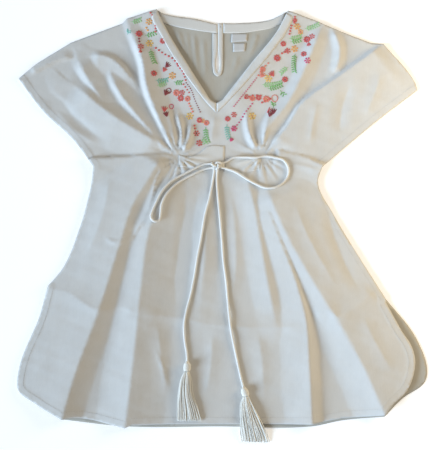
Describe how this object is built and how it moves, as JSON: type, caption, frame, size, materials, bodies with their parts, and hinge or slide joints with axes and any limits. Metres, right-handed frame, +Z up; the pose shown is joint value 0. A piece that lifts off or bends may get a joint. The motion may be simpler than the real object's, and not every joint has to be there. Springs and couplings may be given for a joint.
{
  "type": "kaftan",
  "caption": "Child's white cotton kaftan laid flat, with batwing sleeves, floral embroidery beside the V neck and a tasselled drawstring bow at the waist.",
  "frame": {"origin": "on the surface under the middle of the garment's box, without the drawstring", "axes": "+X across the garment to the viewer's right, +Y from the hem to the neck, +Z up out of the front"},
  "size_m": [0.5715, 0.612, 0.0161],
  "materials": {
    "cotton": "fine plain-weave white cotton, soft matt sheen, floral hand embroidery beside the neck",
    "band": "plain-weave white cotton, pressed and edge-stitched",
    "label": "blank woven tape",
    "cord": "twisted white cotton cord",
    "tassel": "loose white cotton yarn"
  },
  "bodies": {
    "root": {"front": "cotton", "back": "cotton", "neck_band_left": "band", "neck_band_right": "band", "back_binding_left": "band", "back_binding_right": "band", "slit_binding": "band", "neck_label": "label", "small_label": "label", "casing_left": "band", "casing_right": "band", "bow_knot": "cord", "cord_right_loop": "cord", "cord_left_loop": "cord", "cord_left_end": "cord", "cord_right_end": "cord", "tassel_head_left": "tassel", "tassel_skirt_left": "tassel", "tassel_head_right": "tassel", "tassel_skirt_right": "tassel"}
  },
  "joints": []
}
